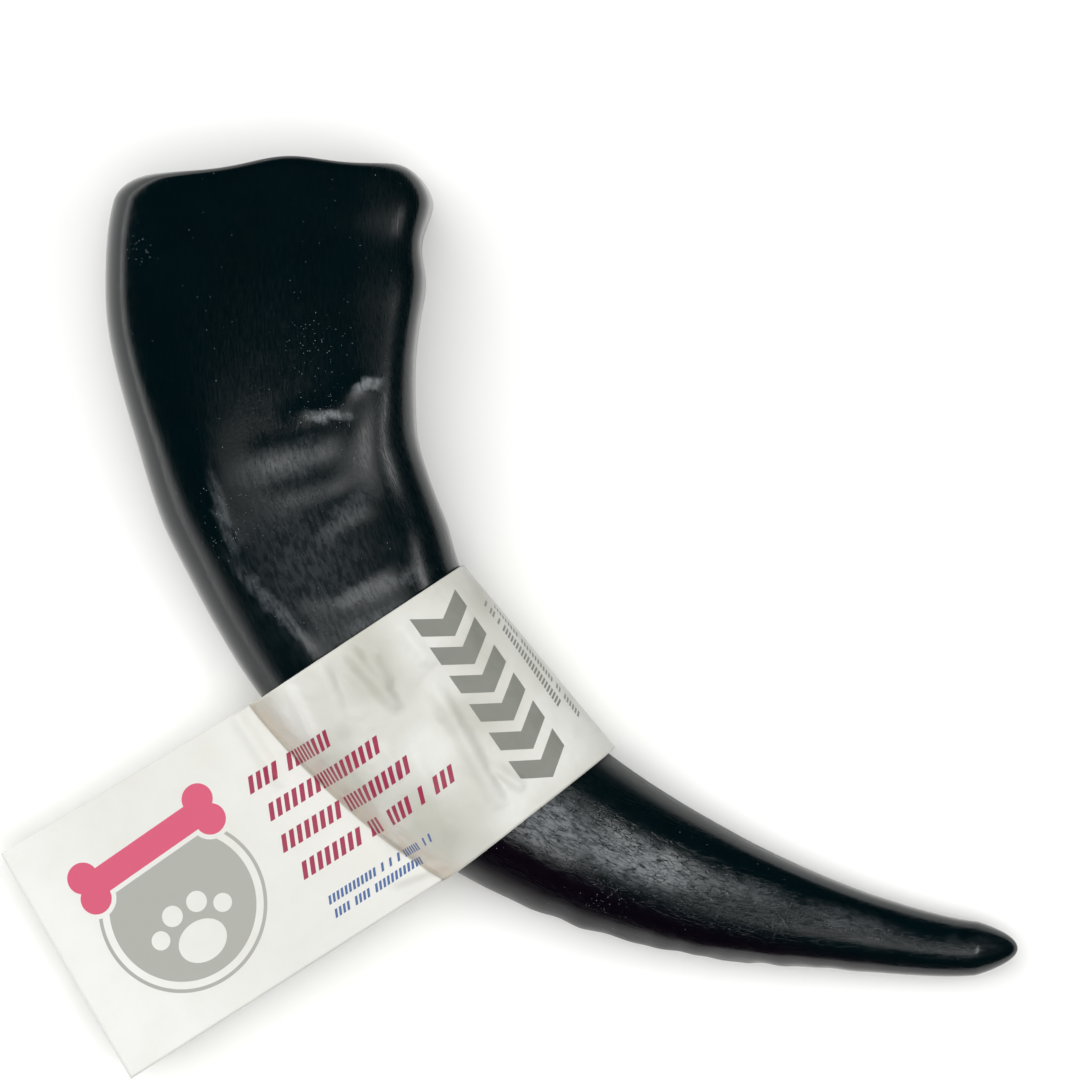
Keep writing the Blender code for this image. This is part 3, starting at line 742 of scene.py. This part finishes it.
def coated_label_paper(chew):
    """White label paper, printed and then varnished: off-white and satin, with painted shade where it rises
    past its pinch and a painted shadow along its fold.
    """
    material, tree, shader = new_material("coated_label_paper")
    strip = add(tree, "UVMap", uv_map="strip")
    past_pinch = add(tree, "SeparateXYZ", add(tree, "UVMap", uv_map="pinch"))
    mottle = add(tree, "TexNoise", strip, None, 1 / MOTTLE, 3.0, 0.6, **FLAT_NOISE)
    paper = add(tree, "Mix", mottle, named={6: (*chew.paper_colour, 1), 7: (*chew.paper_shade, 1)}, **COLOURS)

    # The paper is thin, so the dark horn shows through it over the horn. The blotches on that are painted
    # shade of its folds, and the flag is also darker towards the pinch.
    over_horn = add(tree, "MapRange", past_pinch, *OVER_HORN, 0.0, 1.0, **SMOOTH)
    darker_to_pinch = add(tree, "MapRange", past_pinch, *DARKER_TO_PINCH, 0.0, 0.3, **SMOOTH)
    fold_shade_noise = add(tree, "TexNoise", strip, None, 1 / FOLD_SHADE_BLOTCH, 1.0, 0.4, **FLAT_NOISE)
    blotchy_fold_shade = add(tree, "MapRange", fold_shade_noise, 0.3, 0.7, 0.35, 1.0)
    shaded = joined(tree, "MAXIMUM", darker_to_pinch, joined(tree, "MULTIPLY", over_horn, blotchy_fold_shade))
    paper = add(tree, "Mix", shaded, blend_type="MULTIPLY", named={6: paper, 7: (*chew.paper_shaded, 1)},
                **COLOURS)

    # Painted shade, tan and blotchy, where the paper rises past the pinch, and a painted shadow along the
    # fold itself
    blotched = add(tree, "TexNoise", strip, None, 1 / RISE_SHADE_BLOTCH, 3.0, 0.6, **FLAT_NOISE)
    shadowed = joined(tree, "MULTIPLY", add(tree, "MapRange", past_pinch, *RISE_SHADE_STARTS, 0.0, 1.0),
                    add(tree, "MapRange", past_pinch, *RISE_SHADE_ENDS, 1.0, 0.0, **SMOOTH),
                    add(tree, "MapRange", blotched, 0.35, 0.6, 0.45, 1.0))
    fold_shadow = within(tree, past_pinch, *FOLD_SHADOW_LINE)
    for mask, over in ((shadowed, chew.paper_rise_shade), (fold_shadow, chew.paper_fold_shadow)):
        paper = add(tree, "Mix", mask, named={6: paper, 7: (*over, 1)}, **COLOURS)

    fibre = add(tree, "TexNoise", strip, None, 1 / FIBRE, 3.0, 0.6, **FLAT_NOISE)
    fibre_depth = add(tree, "Math", fibre, FIBRE_DEPTH * MM, operation="MULTIPLY")
    crumple = add(tree, "TexNoise", strip, None, 1 / CRUMPLE, 2.0, 0.5, **FLAT_NOISE)
    crumple_depth = joined(tree, "MULTIPLY", crumple, over_horn, CRUMPLE_DEPTH * MM)
    depth = joined(tree, "ADD", fibre_depth, crumple_depth)
    tree.links.new(printed_paper(tree, strip, paper, chew), shader.inputs["Base Color"])
    tree.links.new(add(tree, "Bump", 1.0, 1.0, named={"Height": depth}), shader.inputs["Normal"])
    tree.links.new(add(tree, "MapRange", mottle, 0.3, 0.7, *PAPER_ROUGHNESS), shader.inputs["Roughness"])
    return material


def painted_board(chew):
    """Board rolled with matt white paint: pale, with hardly any mottle."""
    material, tree, shader = new_material("painted_board")
    # The board's own coordinates are in metres
    mottle = add(tree, "TexNoise", add(tree, "TexCoord", out=3), None, 1 / (FLOOR_MOTTLE * MM))
    shade = [FLOOR_SHADE * c for c in chew.floor_colour]
    colour = add(tree, "Mix", mottle, named={6: (*chew.floor_colour, 1), 7: (*shade, 1)}, **COLOURS)
    tree.links.new(colour, shader.inputs["Base Color"])
    shader.inputs["Roughness"].default_value = FLOOR_ROUGHNESS
    return material


def soft_world(scene):
    """A world that is nearly dark but for a band over the horizon on one side and two glows above."""
    world = bpy.data.worlds.new("soft_horizon")
    world.use_nodes = True
    scene.world = world
    tree = world.node_tree
    direction = add(tree, "TexCoord")
    up = add(tree, "SeparateXYZ", direction, out=2)
    low = add(tree, "MapRange", up, *HORIZON_BAND, 1.0, 0.0, **SMOOTH)
    sideways = add(tree, "VectorMath", direction, BAND_SIDE, operation="DOT_PRODUCT", out=1)
    side = add(tree, "MapRange", sideways, 0.0, 0.9, *BAND_STRENGTHS, **SMOOTH)
    strength = add(tree, "Math", joined(tree, "MULTIPLY", low, side), DIMMEST)
    for towards, outer, inner, bright in GLOWS:
        near = add(tree, "VectorMath", direction, towards, operation="DOT_PRODUCT", out=1)
        glow = add(tree, "MapRange", near, outer, inner, 0.0, bright, **SMOOTH)
        strength = joined(tree, "ADD", strength, glow)
    background = tree.nodes["Background"].inputs
    tree.links.new(strength, background["Strength"])
    background["Color"].default_value = (*linear(WORLD_TINT), 1)


def tint(label, thing, code):
    """A setting for the colour of a thing, with its default as an sRGB hex value."""
    meaning = "Colour of the " + thing
    return FloatVectorProperty(name=label, description=meaning, subtype="COLOR", default=linear(code))


class ChewSettings(bpy.types.PropertyGroup):
    """Sizes and colours of the chew and its studio."""

    horn_colour: tint("Horn", "horn's black", "#00080a")
    horn_film: tint("Horn film", "horn's greyer blotches", "#000d11")
    horn_plum: tint("Horn plum", "horn's redder outer side towards the tip", "#07030a")
    # Painted sheen and highlights on the horn, drawn as pale scuff marks
    sheen_colour: tint("Sheen", "pale scuffs on the horn", "#5f6467")
    hollow_colour: tint("Hollow", "fibres inside the hollow", "#5a4a3c")
    dust_colour: tint("Dust", "crumbs of dust on the horn", "#8a9498")
    horn_roughness: FloatProperty(
        name="Horn roughness", description="How dull the buffed horn is", default=0.17, min=0.05, max=1.0)
    scratch_depth: FloatProperty(
        name="Scratch depth", description="Depth of the scratches in millimetres", default=0.02, min=0.0)
    scrape_depth: FloatProperty(
        name="Scrape depth", description="Depth of the scraped hollows in millimetres", default=0.1, min=0.0)
    paper_colour: tint("Paper", "label's paper", "#dddddb")
    paper_shade: tint("Paper shade", "paper's darker mottle", "#d5d5cf")
    # Tint of the paper where the dark horn shows through it, with blotches of painted fold shade; the flag
    # too is darker towards the pinch
    paper_shaded: tint("Paper over horn", "tint that dark horn gives the paper over it", "#d6d6cf")
    # Painted shadow along the label's fold, and painted shade, tan, where the paper rises past it
    paper_fold_shadow: tint("Paper fold", "paper along its pinch", "#b4afa3")
    paper_rise_shade: tint("Paper tan", "paper where it is tanned at the pinch", "#c5baab")
    badge_ink: tint("Badge ink", "printed badge", "#9d9e97")
    bone_ink: tint("Bone ink", "printed bone", "#c44f6c")
    crimson_ink: tint("Crimson ink", "rows of larger strokes", "#93304a")
    navy_ink: tint("Navy ink", "rows of smaller strokes", "#47608e")
    grey_ink: tint("Grey ink", "chevrons and the strokes beside them", "#787a72")
    paper_thickness: FloatProperty(
        name="Paper thickness", description="Thickness of the label in millimetres", default=0.2, min=0.05)
    floor_colour: tint("Floor", "studio floor", "#f8f8f6")
    camera_height: FloatProperty(
        name="Camera height", description="Height of the camera above the floor", default=1.4, unit="LENGTH")
    skin_columns: IntProperty(
        name="Skin columns", description="Points round the horn's skin", default=168, min=24)


class MESH_OT_chew_horn(bpy.types.Operator):
    """Build the horn in one piece, from the end of its hollow over the rim to the tip"""

    bl_idname = "mesh.chew_horn"
    bl_label = "Horn"

    def execute(self, context):
        chew = context.scene.chew
        around = np.linspace(-np.pi / 2, 1.5 * np.pi, chew.skin_columns, endpoint=False)
        length = spine_length()
        quarter = np.pi / 2
        deep_angles = np.linspace(POINT_ANGLE, quarter, DEEP_RINGS)
        deep = HOLLOW_END - HOLLOW_ROUND_LENGTH * (1 - np.cos(deep_angles))
        wall = np.linspace(deep[-1], MOUTH_ROUND, WALL_RINGS)[1:]
        mouth = MOUTH_ROUND * np.cos(np.linspace(0, quarter, MOUTH_RINGS))[1:]
        rim = RIM_SWEEP * (1 - np.cos(np.linspace(0, quarter, RIM_RINGS)))
        skin = np.linspace(rim[-1], length - TIP_ROUND_LENGTH, SKIN_RINGS)[1:-1]
        tip_angles = np.linspace(0, quarter - POINT_ANGLE, TIP_RINGS)
        tip = length - TIP_ROUND_LENGTH * (1 - np.sin(tip_angles))
        inside_at, outside_at = np.concatenate([deep, wall, mouth]), np.concatenate([rim, skin, tip])
        inside = hollow_skin(inside_at, around)
        outside = outer_skin(outside_at, around, chew.scrape_depth)
        # From 0 at the horn's middle height to 1 from half as high again
        top = np.clip(outside[..., 2] / middle_height(outside_at) - 1, 0, 0.5) * 2
        outside[..., 2] += top * ridges_at(outside[..., :2], RIPPLES) - RIPPLE_ROOM * top
        rings = np.vstack([inside, outside])
        arc = lengths_round(rings)
        arc -= arc[:, chew.skin_columns // 2][:, None]
        along = np.concatenate([-inside_at, outside_at])
        maps = {"skin": np.dstack([arc, np.broadcast_to(along[:, None], arc.shape)])}
        horn = wrapped_mesh("horn_skin", rings, maps, closed=True)
        horn.data.materials.append(buffed_black_horn(chew))
        horn.data.materials.append(raw_horn_wall(chew))
        # The wall's faces come first, and the cap that closes the hollow's end is the last but one
        faces_inside = (len(inside_at) - BUFFED_MOUTH_RINGS) * chew.skin_columns
        slots = np.zeros(len(horn.data.polygons), np.int32)
        slots[:faces_inside] = 1
        slots[-2] = 1
        horn.data.polygons.foreach_set("material_index", slots)
        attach(horn, "root")
        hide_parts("horn")
        return {"FINISHED"}


class MESH_OT_chew_label(bpy.types.Operator):
    """Build the label: a strip of paper round the horn, whose stuck ends stand off as a flag"""

    bl_idname = "mesh.chew_label"
    bl_label = "Label"

    def execute(self, context):
        chew = context.scene.chew
        shares = np.linspace(0, 1, LABEL_ROWS)
        rings, travelled = strip_of_label(shares, chew.paper_thickness)
        # Only the upper half of the strip buckles, from 1 mm below the height of the flag's end up
        top = np.clip((rings[..., 2] - FLAG_END_HEIGHT + 1) / 2, 0, 1)
        top[:, len(rings[0]) // 2:] = 0
        rings[..., 2] += top * np.maximum(ridges_at(rings[..., :2], BUCKLES), DEEPEST_BUCKLE)
        width = np.broadcast_to(shares[:, None] * LABEL_WIDTH, travelled.shape)
        upper_pinch, lower_pinch = travelled[:, FLAG_POINTS - 1], travelled[:, -FLAG_POINTS]
        past_pinch = np.minimum(travelled - upper_pinch[:, None], lower_pinch[:, None] - travelled)
        maps = {"strip": np.dstack([travelled, width]), "pinch": np.dstack([past_pinch, width])}
        label = wrapped_mesh("label_strip", rings, maps, closed=False)
        label.data.materials.append(coated_label_paper(chew))
        solid = label.modifiers.new("thickness", "SOLIDIFY")
        solid.thickness = chew.paper_thickness * MM
        solid.offset = -1
        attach(label, "root")
        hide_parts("label")
        return {"FINISHED"}


class SCENE_OT_chew_studio(bpy.types.Operator):
    """Set up the pale floor, the soft light and the camera that looks straight down"""

    bl_idname = "scene.chew_studio"
    bl_label = "Studio"

    def execute(self, context):
        chew = context.scene.chew
        bpy.ops.mesh.primitive_plane_add(size=FLOOR_SIZE)
        floor = context.object
        floor.name = "studio_floor"
        floor.location.z = -FLOOR_GAP * MM
        floor.data.materials.append(painted_board(chew))
        soft_world(context.scene)

        for name, location, width, height, power, mirrored in SOFTBOXES:
            light = bpy.data.lights.new(name, "AREA")
            light.shape = "RECTANGLE"
            light.size = width
            light.size_y = height
            light.energy = power
            box = bpy.data.objects.new(name, light)
            box.location = location
            box.rotation_mode = "QUATERNION"
            box.rotation_quaternion = box.location.to_track_quat("Z", "Y")
            box.visible_glossy = mirrored
            box.visible_camera = False
            context.scene.collection.objects.link(box)

        lens = bpy.data.cameras.new("camera")
        lens.sensor_width = SENSOR_WIDTH
        lens.lens = SENSOR_WIDTH * (chew.camera_height - VIEW_AT * MM) / (VIEW_WIDTH * MM)
        camera = bpy.data.objects.new("camera", lens)
        camera.location = (CAMERA_OVER[0] * MM, CAMERA_OVER[1] * MM, chew.camera_height)
        context.scene.collection.objects.link(camera)
        context.scene.camera = camera
        context.scene.view_settings.view_transform = "Standard"
        return {"FINISHED"}


class VIEW3D_PT_chew(bpy.types.Panel):
    """Lists the chew's pieces and settings"""

    bl_label = "Horn Chew"
    bl_space_type = "VIEW_3D"
    bl_region_type = "UI"
    bl_category = "Horn Chew"

    def draw(self, context):
        for operator in OPERATORS:
            self.layout.operator(operator.bl_idname)
        for setting in ChewSettings.__annotations__:
            self.layout.prop(context.scene.chew, setting)


OPERATORS = (MESH_OT_chew_horn, MESH_OT_chew_label, SCENE_OT_chew_studio)
CLASSES = (ChewSettings, *OPERATORS, VIEW3D_PT_chew)


def register():
    """Registers the settings, operators and panel."""
    for cls in CLASSES:
        bpy.utils.register_class(cls)
    bpy.types.Scene.chew = PointerProperty(type=ChewSettings)


def unregister():
    """Takes them out again."""
    del bpy.types.Scene.chew
    for cls in reversed(CLASSES):
        bpy.utils.unregister_class(cls)


def main():
    """Builds the chew and its studio."""
    register()
    bpy.ops.mesh.chew_horn()
    bpy.ops.mesh.chew_label()
    bpy.ops.scene.chew_studio()


if __name__ == "__main__":
    main()
